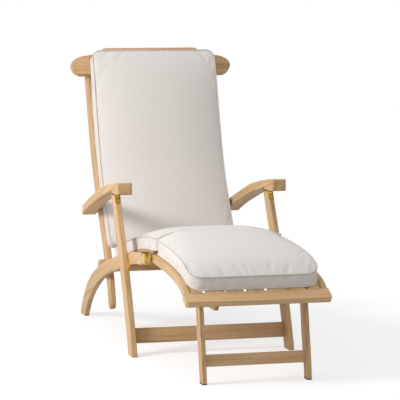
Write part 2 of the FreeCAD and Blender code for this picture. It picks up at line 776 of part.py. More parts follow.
def rest_stretcher():
    (y0, z0), (y1, z1) = REST_LEG_LINE[3], REST_LEG_LINE[2]
    y = y0 + (y1 - y0) * (REST_STRETCHER_Z - z0) / (z1 - z0)
    half_t = REST_STRETCHER_T / 2
    half_h = REST_STRETCHER_H / 2
    bar = block(-REST_LEG_IN, REST_LEG_IN, y - half_t, y + half_t,
                REST_STRETCHER_Z - half_h, REST_STRETCHER_Z + half_h)
    bar = bar.makeFillet(SLAT_EDGE, [e for e in bar.Edges if e.BoundBox.XLength > REST_LEG_IN])
    lean = math.degrees(math.atan2(y1 - y0, z1 - z0))
    return turned(bar, (y, REST_STRETCHER_Z), -lean)


parts["rest_stretcher"] = rest_stretcher()


# Cushion in three parts, each a padded block that follows its frame and lies on its slats
def cushion(line, thick, half):
    pad = board(line, thick, -half, half)
    ends = [e for e in pad.Edges if e.BoundBox.XLength > half]
    return pad.makeFillet(CUSHION_EDGE, ends)


def seat_cushion():
    # Fuller in the middle: its long upper edges and its ends are rounded off far down
    half = STILE_IN - SEAT_CUSHION_MARGIN
    lift = SLAT_T + SEAT_CUSHION_LIFT + SEAT_CUSHION_T / 2
    line = [(y, rail_top(y) + lift) for y in SEAT_CUSHION_Y]
    pad = board(line, [SEAT_CUSHION_T] * len(line), -half, half)
    long_edges = sorted(side_edges(pad, SEAT_CUSHION_T * 2), key=lambda e: -e.BoundBox.Center.z)
    ends = [e for e in pad.Edges if e.BoundBox.XLength > half]
    return pad.makeFillet(SEAT_CUSHION_CROWN, long_edges[:2] + ends)


SEAT_CUSHION_Y = [-61.0, 60.0, 200.0, 340.0, 470.0, 562.0]
parts["seat_cushion"] = seat_cushion()

REST_CUSHION_Y = [-67.5, -180.0, -300.0, -400.0, -460.0, -503.0]
REST_CUSHION_T = [44, 46, 46, 45, 42, 39]
REST_CUSHION_LIFT = 4.1


REST_CUSHION_LINE = [(y, rest_top(y) + REST_CUSHION_LIFT + t / 2)
                     for y, t in zip(REST_CUSHION_Y, REST_CUSHION_T)]
parts["rest_cushion"] = cushion(REST_CUSHION_LINE, REST_CUSHION_T, REST_CUSHION_HALF)

# Thickness of the back cushion at its low end and at the last stations of the stiles, and how far it has
# come forward there over the crest rail, as a share of that rail's thickness
BACK_CUSHION_T = [44, 44, 45, 46, 50, 54, 57, 57, 46, 45]
BACK_CUSHION_RISE = [0, 0, 0, 0, 0, 0, 0, 0.2, 1.0, 1.05]
BACK_CUSHION_FIRST = 3


def back_cushion():
    # Lies on the slats, and at the top in front of the crest rail
    line = []
    for place, (thick, rise) in enumerate(zip(BACK_CUSHION_T, BACK_CUSHION_RISE)):
        front = stile_front(-(thick / 2 + BACK_CUSHION_LIFT + CREST_T * rise))
        if place == 0:
            line.append(at_height(front, BACK_CUSHION_LOW))
        else:
            line.append(front[BACK_CUSHION_FIRST + place - 1])
    return cushion(line, BACK_CUSHION_T, BACK_CUSHION_HALF)


parts["back_cushion"] = back_cushion()

# Everything moves so that the origin is on the floor under the middle of the chair's box
boxes = [shape.optimalBoundingBox(False, False) for shape in parts.values()]
front = min(box.YMin for box in boxes)
rear = max(box.YMax for box in boxes)
shift = -(front + rear) / 2
os.makedirs("parts", exist_ok=True)
for name, shape in parts.items():
    shape.translate(vec(shift, 0))
    shape.exportStep("parts/%s.step" % name)

print("nodes", len(parts), "moved by", round(shift, 3), "from", round(front, 2), "to", round(rear, 2))
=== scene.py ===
import json
import math

import bmesh
import bpy
from mathutils import Matrix, Vector, noise
from mathutils.bvhtree import BVHTree


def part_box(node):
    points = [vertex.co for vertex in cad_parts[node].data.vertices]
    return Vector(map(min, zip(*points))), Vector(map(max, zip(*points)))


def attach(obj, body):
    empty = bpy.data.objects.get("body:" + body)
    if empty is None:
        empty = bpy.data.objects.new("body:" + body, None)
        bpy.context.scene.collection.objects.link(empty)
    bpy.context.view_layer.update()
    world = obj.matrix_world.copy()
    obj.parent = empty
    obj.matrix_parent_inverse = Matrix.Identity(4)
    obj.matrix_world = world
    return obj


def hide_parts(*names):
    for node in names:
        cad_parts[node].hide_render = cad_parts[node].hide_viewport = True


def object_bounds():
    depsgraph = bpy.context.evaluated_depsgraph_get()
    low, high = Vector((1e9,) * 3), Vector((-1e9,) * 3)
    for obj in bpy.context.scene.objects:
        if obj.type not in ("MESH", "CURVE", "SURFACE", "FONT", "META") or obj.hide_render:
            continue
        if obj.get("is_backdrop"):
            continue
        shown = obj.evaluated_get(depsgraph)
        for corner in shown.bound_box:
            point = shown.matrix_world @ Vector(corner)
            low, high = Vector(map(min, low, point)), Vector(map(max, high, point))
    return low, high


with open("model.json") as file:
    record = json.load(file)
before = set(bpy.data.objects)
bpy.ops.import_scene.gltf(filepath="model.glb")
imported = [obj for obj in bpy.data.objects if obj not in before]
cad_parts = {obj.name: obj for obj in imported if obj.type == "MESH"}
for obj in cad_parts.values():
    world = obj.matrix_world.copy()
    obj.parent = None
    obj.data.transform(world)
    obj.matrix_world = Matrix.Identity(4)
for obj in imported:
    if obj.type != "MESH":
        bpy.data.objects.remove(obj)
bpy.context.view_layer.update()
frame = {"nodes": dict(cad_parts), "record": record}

nodes = frame["nodes"]

# Camera. It stands before the foot end and left of the chair, a little above the back, and has a
# long lens. Its place is measured from the toe of the front legs, on the chair's middle plane.
TOE_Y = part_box("left_front_leg")[0].y
CAMERA_FROM_TOE = Vector((-1.7744, -6.5408, 1.2212))
CAMERA_YAW = math.radians(-14.774)
CAMERA_PITCH = math.radians(-5.884)
CAMERA_LENS = 182.9
CAMERA_SIGHT = 500

camera = bpy.data.objects.new("camera", bpy.data.cameras.new("camera"))
bpy.context.collection.objects.link(camera)
camera.location = CAMERA_FROM_TOE + Vector((0, TOE_Y, 0))
camera.rotation_euler = (math.pi / 2 + CAMERA_PITCH, 0, CAMERA_YAW)
camera.data.lens = CAMERA_LENS
camera.data.clip_end = CAMERA_SIGHT
bpy.context.scene.camera = camera
bpy.context.scene.view_settings.view_transform = "Standard"

# Light. A soft round lamp on the left, higher than the back, models the frame, and a weak, wide one
# above opens the right side. A pale surround, a little brighter on the left, does the rest, and is
# plain white where the camera or the polished brass sees it.
WORLD_LEFT = 0.59
WORLD_RIGHT = 0.52
KEY_POWER = 51
KEY_SIZE = 0.8
KEY_PLACE = Vector((-2.33, -0.55, 1.70))
TOP_POWER = 12
TOP_SIZE = 3.2
TOP_PLACE = Vector((0.3, 0.2, 3.6))
AIM = Vector((0, 0, 0.4))
WHITE = (1, 1, 1, 1)


def lamp(name, place, size, power):
    light = bpy.data.lights.new(name, "AREA")
    light.shape = "DISK"
    light.size = size
    light.energy = power
    holder = bpy.data.objects.new(name, light)
    holder.location = place
    holder.rotation_euler = (AIM - place).to_track_quat("-Z", "Y").to_euler()
    holder.visible_camera = False
    bpy.context.collection.objects.link(holder)


def add(tree, kind, x=0, y=0, **inputs):
    # One shader node. Keywords set its inputs by name, with underscores for spaces.
    node = tree.nodes.new(kind)
    node.location = (x, y)
    for key, value in inputs.items():
        node.inputs[key.replace("_", " ")].default_value = value
    return node


def feed(tree, socket, value):
    # value is a number, or the output from which the socket takes it
    if isinstance(value, (int, float)):
        socket.default_value = value
    else:
        tree.links.new(value, socket)


def maths(tree, operation, first, second, x=0, y=0):
    node = add(tree, "ShaderNodeMath", x, y)
    node.operation = operation
    feed(tree, node.inputs[0], first)
    feed(tree, node.inputs[1], second)
    return node.outputs[0]


def map_range(tree, value, old, new, x=0, y=0, ease="LINEAR"):
    # Carries a value from the range old over to the range new
    node = add(tree, "ShaderNodeMapRange", x, y)
    node.interpolation_type = ease
    for label, number in zip(("From Min", "From Max", "To Min", "To Max"), (*old, *new)):
        feed(tree, node.inputs[label], number)
    tree.links.new(value, node.inputs["Value"])
    return node.outputs[0]


def seen_rays(tree, x, y):
    # 1 for rays from the camera, also off or through a surface, and 0 for those that gather light
    rays = add(tree, "ShaderNodeLightPath", x, y)
    bounced = maths(tree, "MAXIMUM", rays.outputs["Is Glossy Ray"],
                    rays.outputs["Is Transmission Ray"], x + 200, y)
    return maths(tree, "MAXIMUM", rays.outputs["Is Camera Ray"], bounced, x + 400, y)


lamp("key_lamp", KEY_PLACE, KEY_SIZE, KEY_POWER)
lamp("top_lamp", TOP_PLACE, TOP_SIZE, TOP_POWER)

world = bpy.data.worlds.new("studio")
bpy.context.scene.world = world
world.use_nodes = True
tree = world.node_tree
background = tree.nodes["Background"]
background.inputs["Color"].default_value = WHITE
where = add(tree, "ShaderNodeTexCoord", -1000, -300)
sides = add(tree, "ShaderNodeSeparateXYZ", -800, -300)
tree.links.new(where.outputs["Generated"], sides.inputs[0])
surround = map_range(tree, sides.outputs["X"], (-1, 1), (WORLD_LEFT, WORLD_RIGHT), -600, -300)
strength = map_range(tree, seen_rays(tree, -1000, 0), (0, 1), (surround, 1), -200)
tree.links.new(strength, background.inputs["Strength"])

# Floor. White paper that the chair stands on. Near the chair it takes the shadow, and further out
# it fades into the white of the surround. Seen by the camera, it glows by what its lit face lacks
# of white, so that only a shadow darkens it.
FLOOR_REACH = 40
FLOOR_SIDES = 64
FLOOR_DROP = 0.0004
SHADE_NEAR = 0.75
SHADE_FAR = 1.35
FLOOR_LIFT = 0.32
FLOOR_WHITE = 0.66
FLOOR_LIT = 0.55

mesh = bpy.data.meshes.new("floor")
bm = bmesh.new()
bmesh.ops.create_circle(bm, cap_ends=True, segments=FLOOR_SIDES, radius=FLOOR_REACH)
bmesh.ops.translate(bm, verts=bm.verts, vec=(0, 0, -FLOOR_DROP))
bm.to_mesh(mesh)
bm.free()
floor = bpy.data.objects.new("floor", mesh)
bpy.context.collection.objects.link(floor)
paper = bpy.data.materials.new("white_paper")
paper.use_nodes = True
tree = paper.node_tree
tree.nodes.clear()
output = add(tree, "ShaderNodeOutputMaterial", 600)
whole = add(tree, "ShaderNodeAddShader", 400)
diffuse = add(tree, "ShaderNodeBsdfDiffuse", 200, 100)
glow = add(tree, "ShaderNodeEmission", 200, -100, Color=WHITE)
place = add(tree, "ShaderNodeTexCoord", -900)
away = add(tree, "ShaderNodeVectorMath", -700)
away.operation = "LENGTH"
tree.links.new(place.outputs["Object"], away.inputs[0])
fade = map_range(tree, away.outputs["Value"], (SHADE_NEAR, SHADE_FAR), (FLOOR_LIFT, 1), -500,
                 ease="SMOOTHSTEP")
seen = seen_rays(tree, -900, -300)
lifted = maths(tree, "MULTIPLY", fade, seen, -300, 0)
shaded = maths(tree, "SUBTRACT", 1, lifted, -150, 100)
colour = maths(tree, "MULTIPLY", shaded, FLOOR_WHITE, 50, 100)
lit = maths(tree, "MULTIPLY", shaded, FLOOR_LIT, -150, -100)
missing = maths(tree, "SUBTRACT", 1, lit, 0, -100)
tree.links.new(colour, diffuse.inputs["Color"])
tree.links.new(maths(tree, "MULTIPLY", missing, seen, 50, -250), glow.inputs["Strength"])
tree.links.new(diffuse.outputs[0], whole.inputs[0])
tree.links.new(glow.outputs[0], whole.inputs[1])
tree.links.new(whole.outputs[0], output.inputs["Surface"])
mesh.materials.append(paper)
floor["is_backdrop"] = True

# Teak. Rails, legs, arms, stiles and slats are each sawn from a teak board, sanded and given a thin
# clear oil. Long dark and pale streaks and fine pores run along the board, and no two boards have
# quite the same tone.
TEAK_PALE = (0.655, 0.440, 0.232, 1)
TEAK_MID = (0.568, 0.355, 0.176, 1)
TEAK_DARK = (0.388, 0.223, 0.100, 1)
TEAK_STOPS = ((0.33, TEAK_DARK), (0.46, TEAK_MID), (0.60, TEAK_PALE))
STREAK_ACROSS = 140.0
STREAK_ALONG = 4.0
STREAK_DETAIL = 5
STREAK_SHARE = 0.6
BAND_ACROSS = 35.0
BAND_ALONG = 2.0
BAND_SHARE = 0.4
PORE_ACROSS = 900.0
PORE_ALONG = 55.0
FINE_DETAIL = 2
GRAIN_ROUGHNESS = 0.55
PORE_EDGES = (0.28, 0.42)
PORE_DARKNESS = 0.35
TEAK_ROUGHNESS = (0.62, 0.48)
PORE_RELIEF = 0.7
STREAK_RELIEF = 0.3
TEAK_BUMP = 0.25
TEAK_BUMP_HEIGHT = 0.0004
TEAK_GLOSS = 0.35
EVEN_TONE = 0.5
TONE_SPREAD = 0.035
TONE_STEP = 2.4
BOARD_STEP = (0.37, 0.53, 0.19)
MIX_A, MIX_B, MIX_RESULT = 6, 7, 2


def shader_group(name, inputs, outputs):
    group = bpy.data.node_groups.new(name, "ShaderNodeTree")
    for label, kind in inputs:
        group.interface.new_socket(label, in_out="INPUT", socket_type=kind)
    for label, kind in outputs:
        group.interface.new_socket(label, in_out="OUTPUT", socket_type=kind)
    start = group.nodes.new("NodeGroupInput")
    end = group.nodes.new("NodeGroupOutput")
    end.location = (1200, 0)
    return group, start, end


def stretched_noise(tree, vector, across, along, detail, y):
    scale = add(tree, "ShaderNodeVectorMath", -900, y)
    scale.operation = "MULTIPLY"
    scale.inputs[1].default_value = (across, along, across)
    tree.links.new(vector, scale.inputs[0])
    cloud = add(tree, "ShaderNodeTexNoise", -700, y, Scale=1.0, Detail=detail,
                Roughness=GRAIN_ROUGHNESS)
    tree.links.new(scale.outputs[0], cloud.inputs["Vector"])
    return cloud.outputs["Fac"]


def ramp(tree, source, stops, x=0, y=0):
    # A colour ramp. stops are (place, colour).
    node = add(tree, "ShaderNodeValToRGB", x, y)
    while len(node.color_ramp.elements) < len(stops):
        node.color_ramp.elements.new(0.5)
    for element, (position, colour) in zip(node.color_ramp.elements, stops):
        element.position = position
        element.color = colour
    tree.links.new(source, node.inputs[0])
    return node.outputs["Color"]


def new_material(name):
    material = bpy.data.materials.new(name)
    material.use_nodes = True
    return material, material.node_tree, material.node_tree.nodes["Principled BSDF"]


def raise_surface(tree, shader, height, strength, distance):
    bump = add(tree, "ShaderNodeBump", -250, -300, Strength=strength, Distance=distance)
    tree.links.new(height, bump.inputs["Height"])
    tree.links.new(bump.outputs["Normal"], shader.inputs["Normal"])


def finish_node(name, material):
    nodes[name].data.materials.clear()
    nodes[name].data.materials.append(material)


grain, start, end = shader_group(
    "teak_grain",
    [("Vector", "NodeSocketVector"), ("Tone", "NodeSocketFloat")],
    [("Color", "NodeSocketColor"), ("Roughness", "NodeSocketFloat"), ("Height", "NodeSocketFloat")])
board = start.outputs["Vector"]
streaks = stretched_noise(grain, board, STREAK_ACROSS, STREAK_ALONG, STREAK_DETAIL, 300)
bands = stretched_noise(grain, board, BAND_ACROSS, BAND_ALONG, FINE_DETAIL, 0)
pores = stretched_noise(grain, board, PORE_ACROSS, PORE_ALONG, FINE_DETAIL, -300)
figure = maths(grain, "ADD", maths(grain, "MULTIPLY", streaks, STREAK_SHARE, -400, 300),
               maths(grain, "MULTIPLY", bands, BAND_SHARE, -400, 0), -200, 200)
tone = maths(grain, "SUBTRACT", start.outputs["Tone"], EVEN_TONE, -400, 500)
wood = ramp(grain, maths(grain, "ADD", figure, tone, 0, 300), TEAK_STOPS, 200, 300)
pore_mask = map_range(grain, pores, PORE_EDGES, (0, 1), 0, -300)
pored = add(grain, "ShaderNodeMix", 600, 200, Factor=PORE_DARKNESS)
pored.data_type = "RGBA"
pored.blend_type = "MULTIPLY"
grain.links.new(wood, pored.inputs[MIX_A])
grain.links.new(pore_mask, pored.inputs[MIX_B])
relief = maths(grain, "ADD", maths(grain, "MULTIPLY", pore_mask, PORE_RELIEF, 300, -400),
               maths(grain, "MULTIPLY", streaks, STREAK_RELIEF, 300, -550), 600, -400)
roughness = map_range(grain, figure, (0, 1), TEAK_ROUGHNESS, 600, -100)
grain.links.new(pored.outputs[MIX_RESULT], end.inputs["Color"])
grain.links.new(roughness, end.inputs["Roughness"])
grain.links.new(relief, end.inputs["Height"])


def teak(name, along, tone, shift):
    # along is the direction of the board's length. shift moves the pattern, so that no two boards
    # are alike.
    material, tree, shader = new_material("teak_" + name)
    where = add(tree, "ShaderNodeTexCoord", -1000)
    mapping = add(tree, "ShaderNodeMapping", -800, Location=shift,
                  Rotation=along.to_track_quat("Y", "Z").to_euler())
    mapping.vector_type = "TEXTURE"
    figure = add(tree, "ShaderNodeGroup", -550)
    figure.node_tree = grain
    figure.inputs["Tone"].default_value = tone
    tree.links.new(where.outputs["Object"], mapping.inputs["Vector"])
    tree.links.new(mapping.outputs["Vector"], figure.inputs["Vector"])
    tree.links.new(figure.outputs["Color"], shader.inputs["Base Color"])
    tree.links.new(figure.outputs["Roughness"], shader.inputs["Roughness"])
    raise_surface(tree, shader, figure.outputs["Height"], TEAK_BUMP, TEAK_BUMP_HEIGHT)
    shader.inputs["Specular IOR Level"].default_value = TEAK_GLOSS
    return material


def board_length(obj):
    # The direction in which a board is longest: across the chair, or as it runs in the side view
    size = obj.dimensions
    if size.x > max(size.y, size.z):
        return Vector((1, 0, 0))
    points = [v.co for v in obj.data.vertices]
    middle = sum(points, Vector()) / len(points)
    tip = max(points, key=lambda p: (p - middle).length)
    other = max(points, key=lambda p: (p - tip).length)
    return Vector((0, other.y - tip.y, other.z - tip.z)).normalized()


slots = {part["node"]: part["material_slot"] for part in frame["record"]["subparts"]}
wooden = [name for name in sorted(nodes) if slots[name] == "teak"]
for count, name in enumerate(wooden):
    tone = EVEN_TONE + TONE_SPREAD * math.sin(count * TONE_STEP)
    shift = tuple(step * count for step in BOARD_STEP)
    finish_node(name, teak(name, board_length(nodes[name]), tone, shift))

# Brass. The hinges, plates, brackets, pins and bolts are cast or folded from brass, with a soft
# polish and a few darker, duller patches.
BRASS_BRIGHT = (0.80, 0.56, 0.16, 1)
BRASS_DULL = (0.52, 0.36, 0.10, 1)
BRASS_STOPS = ((0.35, BRASS_DULL), (0.6, BRASS_BRIGHT))
BRASS_PATCHES = 60.0
BRASS_DETAIL = 4.0
BRASS_ROUGHNESS = (0.42, 0.22)


def patches(tree, scale, detail):
    where = add(tree, "ShaderNodeTexCoord", -900)
    cloud = add(tree, "ShaderNodeTexNoise", -700, 0, Scale=scale, Detail=detail)
    tree.links.new(where.outputs["Object"], cloud.inputs["Vector"])
    return cloud.outputs["Fac"]


brass, tree, shader = new_material("polished_brass")
dull = patches(tree, BRASS_PATCHES, BRASS_DETAIL)
roughness = map_range(tree, dull, (0, 1), BRASS_ROUGHNESS, -450, -200)
tree.links.new(ramp(tree, dull, BRASS_STOPS, -450, 100), shader.inputs["Base Color"])
tree.links.new(roughness, shader.inputs["Roughness"])
shader.inputs["Metallic"].default_value = 1.0
for name in sorted(nodes):
    if slots[name] == "brass":
        finish_node(name, brass)

# Hinge screws. The hinge under each arm is screwed to the front of the leg's top through its lower
# leaf, with two round-headed brass screws, one above the other.
SCREW_R = 0.0036
SCREW_RISE = 0.0018
SCREW_SIDES = 20
SCREW_RINGS = 10
SCREW_PLACES = (0.22, 0.62)
AHEAD = 2.0


def settle_order(bm):
    # The mesh operators list their parts in an order that changes from run to run. Sorted by place,
    # the same mesh comes out each time.
    def sort_by(key, parts):
        rank = {part: i for i, part in enumerate(sorted(parts, key=key))}
        parts.sort(key=rank.get)
        parts.index_update()

    sort_by(lambda vert: tuple(vert.co), bm.verts)
    for parts in (bm.edges, bm.faces):
        sort_by(lambda part: sorted(vert.index for vert in part.verts), parts)


def screws(name, node, body, places):
    # places are shares of the leaf's height. The heads sit on its front.
    leaves = BVHTree.FromObject(nodes[node], bpy.context.evaluated_depsgraph_get())
    bm = bmesh.new()
    for side in (-1, 1):
        leaf = [v.co for v in nodes[node].data.vertices if v.co.x * side > 0]
        x = (min(p.x for p in leaf) + max(p.x for p in leaf)) / 2
        low, high = min(p.z for p in leaf), max(p.z for p in leaf)
        for share in places:
            eye = Vector((x, -AHEAD, low + share * (high - low)))
            spot, normal, _, _ = leaves.ray_cast(eye, Vector((0, 1, 0)))
            head = bmesh.ops.create_uvsphere(
                bm, u_segments=SCREW_SIDES, v_segments=SCREW_RINGS, radius=SCREW_R)["verts"]
            turn = normal.to_track_quat("Z", "Y").to_matrix().to_4x4()
            flatten = Matrix.Diagonal((1, 1, SCREW_RISE / SCREW_R, 1))
            bmesh.ops.transform(bm, verts=head, matrix=Matrix.Translation(spot) @ turn @ flatten)
    settle_order(bm)
    mesh = bpy.data.meshes.new(name)
    bm.to_mesh(mesh)
    bm.free()
    for face in mesh.polygons:
        face.use_smooth = True
    mesh.materials.append(brass)
    piece = bpy.data.objects.new(name, mesh)
    bpy.context.collection.objects.link(piece)
    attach(piece, body)


screws("hinge_screws", "hinge_leg_leaves", "front_legs", SCREW_PLACES)

# Soles. Thin pads of dark plastic under the feet of the leg rest's legs. They keep the end grain of
# the teak off wet boards.
SOLE_DARK = (0.02, 0.018, 0.016, 1)
SOLE_WORN = (0.05, 0.045, 0.04, 1)
SOLE_STOPS = ((0.3, SOLE_DARK), (0.7, SOLE_WORN))
SOLE_PATCHES = 300.0
SOLE_DETAIL = 3.0
SOLE_ROUGHNESS = 0.8

sole, tree, shader = new_material("dark_sole")
worn = ramp(tree, patches(tree, SOLE_PATCHES, SOLE_DETAIL), SOLE_STOPS)
tree.links.new(worn, shader.inputs["Base Color"])
shader.inputs["Roughness"].default_value = SOLE_ROUGHNESS
finish_node("rest_leg_soles", sole)

# Canvas. All three cushion sections are sewn from one pale, tightly woven outdoor canvas with a
# matt face. The weave follows the cloth's own length and width, which each cushion carries as a UV
# map in metres. The cord in the seam round the front is the same canvas, darkened as painted shade
# for the shadow that lies along that seam.
CANVAS_PALE = (0.760, 0.716, 0.684, 1)
CANVAS_DEEP = (0.680, 0.636, 0.602, 1)
# The cord canvas is darker as painted shade, for the shadow along the seam it sits in
PIPING_PAINTED_SHADE_PALE = (0.600, 0.555, 0.525, 1)
PIPING_PAINTED_SHADE_DEEP = (0.500, 0.460, 0.430, 1)
DEEP_STOP = 0.25
PALE_STOP = 0.62
THREAD = 0.0009
THREAD_SHARE = 0.35
SLUB_SHARE = 0.65
SLUB_SCALE = 220.0
SLUB_DETAIL = 4.0
SLUB_ROUGHNESS = 0.6
CANVAS_BUMP = 0.35
CANVAS_BUMP_HEIGHT = 0.0003
CANVAS_ROUGHNESS = 0.9
CANVAS_GLOSS = 0.2
SHEEN = 0.25
SHEEN_ROUGHNESS = 0.5
CLOTH_MAP = "cloth"

weaving, start, end = shader_group(
    "canvas_weave", [("Vector", "NodeSocketVector")], [("Height", "NodeSocketFloat")])
split = add(weaving, "ShaderNodeSeparateXYZ", -1200)
weaving.links.new(start.outputs["Vector"], split.inputs[0])
threads = []
for side, y in (("X", 200), ("Y", 0)):
    turned = maths(weaving, "MULTIPLY", split.outputs[side], math.pi / THREAD, -1000, y)
    threads.append(maths(weaving, "SINE", turned, 0, -800, y))
crossed = maths(weaving, "MULTIPLY", *threads, -600, 100)
weave = map_range(weaving, crossed, (-1, 1), (0, 1), -400, 100)
slub = add(weaving, "ShaderNodeTexNoise", -900, -300, Scale=SLUB_SCALE, Detail=SLUB_DETAIL,
           Roughness=SLUB_ROUGHNESS)
weaving.links.new(start.outputs["Vector"], slub.inputs["Vector"])
height = maths(weaving, "ADD", maths(weaving, "MULTIPLY", weave, THREAD_SHARE, -200, 100),
               maths(weaving, "MULTIPLY", slub.outputs["Fac"], SLUB_SHARE, -200, -200), 0, 0)
weaving.links.new(height, end.inputs["Height"])


def cloth(name, pale, deep):
    material, tree, shader = new_material(name)
    where = add(tree, "ShaderNodeUVMap", -800)
    where.uv_map = CLOTH_MAP
    figure = add(tree, "ShaderNodeGroup", -600)
    figure.node_tree = weaving
    tree.links.new(where.outputs["UV"], figure.inputs["Vector"])
    shade = ramp(tree, figure.outputs["Height"], ((DEEP_STOP, deep), (PALE_STOP, pale)), -350, 100)
    tree.links.new(shade, shader.inputs["Base Color"])
    raise_surface(tree, shader, figure.outputs["Height"], CANVAS_BUMP, CANVAS_BUMP_HEIGHT)
    shader.inputs["Roughness"].default_value = CANVAS_ROUGHNESS
    shader.inputs["Sheen Weight"].default_value = SHEEN
    shader.inputs["Sheen Roughness"].default_value = SHEEN_ROUGHNESS
    shader.inputs["Specular IOR Level"].default_value = CANVAS_GLOSS
    return material


canvas = cloth("woven_canvas", CANVAS_PALE, CANVAS_DEEP)
# The upper cords' canvas: the same weave, darkened as painted shade along the seam
piping_painted_shade = cloth("piping_canvas_painted_shade", PIPING_PAINTED_SHADE_PALE, PIPING_PAINTED_SHADE_DEEP)

# Cushions. Each section is boxed: a front and a back panel with a band sewn between them, and a
# cord in both seams. The filling swells the front panel, the side on the slats stays nearly flat,
# and the cloth is gathered a little where it meets the seams.
CELL = 0.0075
BAND_ROWS = 6
BOX_DIGITS = 6
EDGE = 0.4999
STATIONS = 40
ROUNDED_END = 0.022
FIRM = 4
NOSE_POWER = 6
JOINED_LOSS = 0.8
BAND_CAP = 0.005
UNDER_CAP = 0.0012
FOLD_CAP = 0.003
SINK_CAP = 0.0015
UNEVEN = 0.0012
UNEVEN_SCALE = 28
SIM_FRAMES = 20
PRESSURE = 4.0
CLOTH_SETTINGS = {
    "quality": 4,
    "mass": 0.3,
    "tension_stiffness": 12,
    "compression_stiffness": 12,
    "shear_stiffness": 6,
    "bending_stiffness": 0.4,
    "use_pressure": True,
    "vertex_group_mass": "seam",
    "shrink_min": -0.015,
}
PUCKERS = 22
PUCKER_CHANGE = 6
GATHER = 0.0007
GATHER_REACH = 0.035
SEAM_EASE = 0.004
END_SEED = 11
SIDE_SEED = 5
BAND_GATHER = 0.0026
BAND_SEED = 3
ON_BAND = 1e-5
PIPING_R = 0.0023
PIPING_ROUNDNESS = 3
BIAS = 0.3
MEET = 0.002
LEVEL = 0.35


def profile(node, first, last):
    # Both faces of a CAD cushion on the middle plane, at even steps along the line from first to
    # last. Its ends are rounded, so the faces are carried on straight over them.
    shape = BVHTree.FromObject(nodes[node], bpy.context.evaluated_depsgraph_get())
    along = (last - first).normalized()
    up = Vector((0, -along.z, along.y))

    def faces(t):
        point = first.lerp(last, t)
        return shape.ray_cast(point - up, up)[0], shape.ray_cast(point + up, -up)[0]

    step = ROUNDED_END / (last - first).length
    rows = []
    for i in range(STATIONS):
        t = i / (STATIONS - 1)
        near = min(max(t, step), 1 - step)
        over = abs(t - near) / step
        inward = near + math.copysign(step, near - t) if over else near
        rows.append(tuple(a + (a - b) * over for a, b in zip(faces(near), faces(inward))))
    return rows


def between(rows, t):
    place = min(max(t, 0.0), 1.0) * (len(rows) - 1)
    low = min(int(place), len(rows) - 2)
    return tuple(a.lerp(b, place - low) for a, b in zip(rows[low], rows[low + 1]))


def round_corner(x, y, length, width, radius):
    # From a plain rectangle to one with round corners, without tearing the grid
    p = (abs(x) - (length / 2 - radius)) / radius
    q = (abs(y) - (width / 2 - radius)) / radius
    if p <= 0 or q <= 0:
        return x, y
    x = math.copysign(length / 2 - radius + radius * p * math.sqrt(1 - q * q / 2), x)
    y = math.copysign(width / 2 - radius + radius * q * math.sqrt(1 - p * p / 2), y)
    return x, y


def fall(share, power):
    # 1 in the middle and 0 at the seams. share runs from -0.5 to 0.5 across the cushion, and a
    # higher power keeps it level for longer.
    return 1 - abs(2 * share) ** power


def gathers(a, b, h, length, width):
    # Small puckers square to the nearest seam, as a push along the cloth's own normal
    to_end = (0.5 - abs(a)) * length
    to_side = (0.5 - abs(b)) * width
    if min(to_end, to_side) < ON_BAND:
        spot = Vector((a * length * PUCKERS, b * width * PUCKERS, BAND_SEED))
        return BAND_GATHER * math.sin(math.pi * h) * noise.noise(spot)
    push = 0
    for away, along, seed in ((to_end, b * width, END_SEED), (to_side, a * length, SIDE_SEED)):
        ridge = noise.noise(Vector((along * PUCKERS, away * PUCKER_CHANGE, seed)))
        push += GATHER * ridge * math.exp(-away / GATHER_REACH) * away / (away + SEAM_EASE)
    return push * h


def swell(cushion, places, seam, caps, length, width, push):
    # Blows the cushion up with its seams held, keeps each point within its cap, adds the gathers.
    # push is 1, or -1 for a slack cushion, whose cloth is drawn in instead.
    mesh = cushion.data
    rest = [v.co.copy() for v in mesh.vertices]
    normals = [v.normal * push for v in mesh.vertices]
    for vert in mesh.vertices:
        vert.co += vert.normal * push * noise.noise(vert.co * UNEVEN_SCALE) * UNEVEN
    cushion.vertex_groups.new(name="seam").add(seam, 1.0, "REPLACE")
    fabric = cushion.modifiers.new("swell", "CLOTH")
    for setting, value in CLOTH_SETTINGS.items():
        setattr(fabric.settings, setting, value)
    fabric.settings.uniform_pressure_force = PRESSURE * push
    fabric.settings.effector_weights.gravity = 0
    fabric.collision_settings.use_collision = False
    for step in range(1, SIM_FRAMES + 1):
        bpy.context.scene.frame_set(step)
    result = cushion.evaluated_get(bpy.context.evaluated_depsgraph_get())
    moved = [v.co.copy() for v in result.data.vertices]
    cushion.modifiers.remove(fabric)
    cushion.vertex_groups.clear()
    bpy.context.scene.frame_set(1)
    for vert in mesh.vertices:
        i = vert.index
        shift = moved[i] - rest[i]
        reach = shift.dot(normals[i])
        most = caps[i] if reach > 0 else SINK_CAP
        shift -= normals[i] * (reach - most * math.tanh(reach / most))
        vert.co = rest[i] + shift + normals[i] * gathers(*places[i], length, width)


